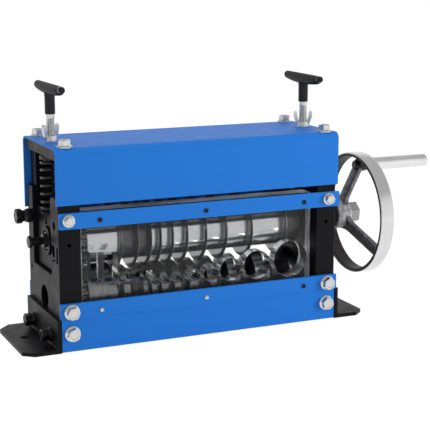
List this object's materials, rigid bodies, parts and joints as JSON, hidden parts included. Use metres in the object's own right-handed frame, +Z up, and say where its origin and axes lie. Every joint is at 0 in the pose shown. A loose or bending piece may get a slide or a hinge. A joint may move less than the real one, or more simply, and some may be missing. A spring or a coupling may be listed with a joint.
{
  "type": "hand crank wire stripper",
  "caption": "Bench wire stripper: a handwheel turns a shaft of circular blades over a grooved feed roller behind a clear plate with round and flat wire inlets.",
  "frame": {"origin": "on the bench surface, midway between the bolt holes of the two feet, straight under both shafts", "axes": "+X along the shafts towards the handwheel, -Y towards the side with the wire inlets, +Z up"},
  "size_m": [0.551, 0.1528, 0.2943],
  "materials": {
    "frame_black": "satin black powder coat on thick steel plate",
    "sheet_blue": "semi-gloss blue powder coat",
    "clear_acrylic": "clear thick acrylic with polished edges",
    "zinc": "bright zinc plated fasteners",
    "black_bolt": "blackened steel screws",
    "black_plastic": "moulded black plastic",
    "spring_black": "black coated spring steel",
    "cast_grey": "cast iron with a turned rim",
    "polished_steel": "polished steel",
    "turned_steel": "turned steel",
    "blade_steel": "ground tool steel",
    "gear_steel": "oiled machined steel"
  },
  "bodies": {
    "frame": {"left_side_plate": "frame_black", "right_side_plate": "frame_black", "left_top_block": "frame_black", "right_top_block": "frame_black", "top_cover": "sheet_blue", "front_upper_bar": "sheet_blue", "front_lower_bar": "sheet_blue", "front_lower_panel": "sheet_blue", "rear_lower_panel": "sheet_blue", "rear_upper_bar": "sheet_blue", "inlet_plate": "clear_acrylic", "left_foot": "frame_black", "right_foot": "frame_black", "upper_bar_bolts": "zinc", "front_panel_bolts": "zinc", "rear_bolts": "zinc", "cover_bolts": "zinc", "foot_bolts": "black_bolt", "window_screws_black": "black_bolt", "window_screws_bright": "zinc", "left_feed_bearing": "turned_steel", "right_feed_bearing": "turned_steel"},
    "carriage": {"left_bearing_block": "frame_black", "right_bearing_block": "frame_black", "left_blade_bearing": "turned_steel", "right_blade_bearing": "turned_steel", "left_spring": "spring_black", "right_spring": "spring_black"},
    "blade_drum": {"blade_shaft": "turned_steel", "blade_1": "blade_steel", "blade_2": "blade_steel", "blade_3": "blade_steel", "blade_4": "blade_steel", "blade_5": "blade_steel", "blade_6": "blade_steel", "blade_7": "blade_steel", "blade_8": "blade_steel", "blade_9": "blade_steel", "blade_10": "blade_steel", "spacer_collars": "turned_steel", "upper_gear": "gear_steel", "wheel_sleeve": "black_bolt", "handwheel": "cast_grey", "wheel_washer": "zinc", "wheel_nut": "zinc", "shaft_end_screw": "black_bolt", "crank_bolt": "black_bolt"},
    "feed_drum": {"feed_shaft": "turned_steel", "feed_roller": "turned_steel", "lower_gear": "gear_steel"},
    "grip": {"crank_grip": "polished_steel"},
    "left_seat": {"left_spring_seat": "spring_black"},
    "right_seat": {"right_spring_seat": "spring_black"},
    "left_screw": {"left_pressure_screw": "zinc", "left_tee_handle": "black_plastic"},
    "right_screw": {"right_pressure_screw": "zinc", "right_tee_handle": "black_plastic"},
    "left_lock": {"left_wing_nut": "zinc"},
    "right_lock": {"right_wing_nut": "zinc"},
    "knob": {"star_knob": "black_plastic"}
  },
  "joints": [
    {"name": "carriage_lift", "type": "slide", "parent": "frame", "child": "carriage", "axis": [0, 0, 1], "range_m": [0, 0.008], "stiffness_N_per_m": 20000, "springref_m": -0.005, "deforming": ["left_spring", "right_spring"]},
    {"name": "blade_spin", "type": "hinge", "parent": "carriage", "child": "blade_drum", "pos_m": [0, 0, 0.116], "axis": [1, 0, 0], "continuous": true},
    {"name": "feed_spin", "type": "hinge", "parent": "frame", "child": "feed_drum", "pos_m": [0, 0, 0.05], "axis": [1, 0, 0], "continuous": true},
    {"name": "grip_spin", "type": "hinge", "parent": "blade_drum", "child": "grip", "pos_m": [0.29, -0.0076, 0.17794], "axis": [1, 0, 0], "continuous": true},
    {"name": "left_seat_slide", "type": "slide", "parent": "frame", "child": "left_seat", "axis": [0, 0, 1], "range_m": [-0.006, 0], "deforming": ["left_spring"]},
    {"name": "left_screw_turn", "type": "hinge", "parent": "left_seat", "child": "left_screw", "pos_m": [-0.1605, 0.002, 0.25], "axis": [0, 0, 1], "range_deg": [-1440, 0]},
    {"name": "left_lock_turn", "type": "hinge", "parent": "frame", "child": "left_lock", "pos_m": [-0.1605, 0.002, 0.232], "axis": [0, 0, 1], "range_deg": [0, 180]},
    {"name": "right_seat_slide", "type": "slide", "parent": "frame", "child": "right_seat", "axis": [0, 0, 1], "range_m": [-0.006, 0], "deforming": ["right_spring"]},
    {"name": "right_screw_turn", "type": "hinge", "parent": "right_seat", "child": "right_screw", "pos_m": [0.1605, 0.002, 0.25], "axis": [0, 0, 1], "range_deg": [-1440, 0]},
    {"name": "right_lock_turn", "type": "hinge", "parent": "frame", "child": "right_lock", "pos_m": [0.1605, 0.002, 0.232], "axis": [0, 0, 1], "range_deg": [0, 180]},
    {"name": "knob_turn", "type": "hinge", "parent": "frame", "child": "knob", "pos_m": [-0.18, 0.047, 0.137], "axis": [1, 0, 0], "range_deg": [0, 360]}
  ],
  "couplings": [
    {"joint": "feed_spin", "follows": "blade_spin", "ratio": -1},
    {"joint": "left_screw_turn", "follows": "left_seat_slide", "rad_per_m": 4188.8},
    {"joint": "right_screw_turn", "follows": "right_seat_slide", "rad_per_m": 4188.8}
  ]
}
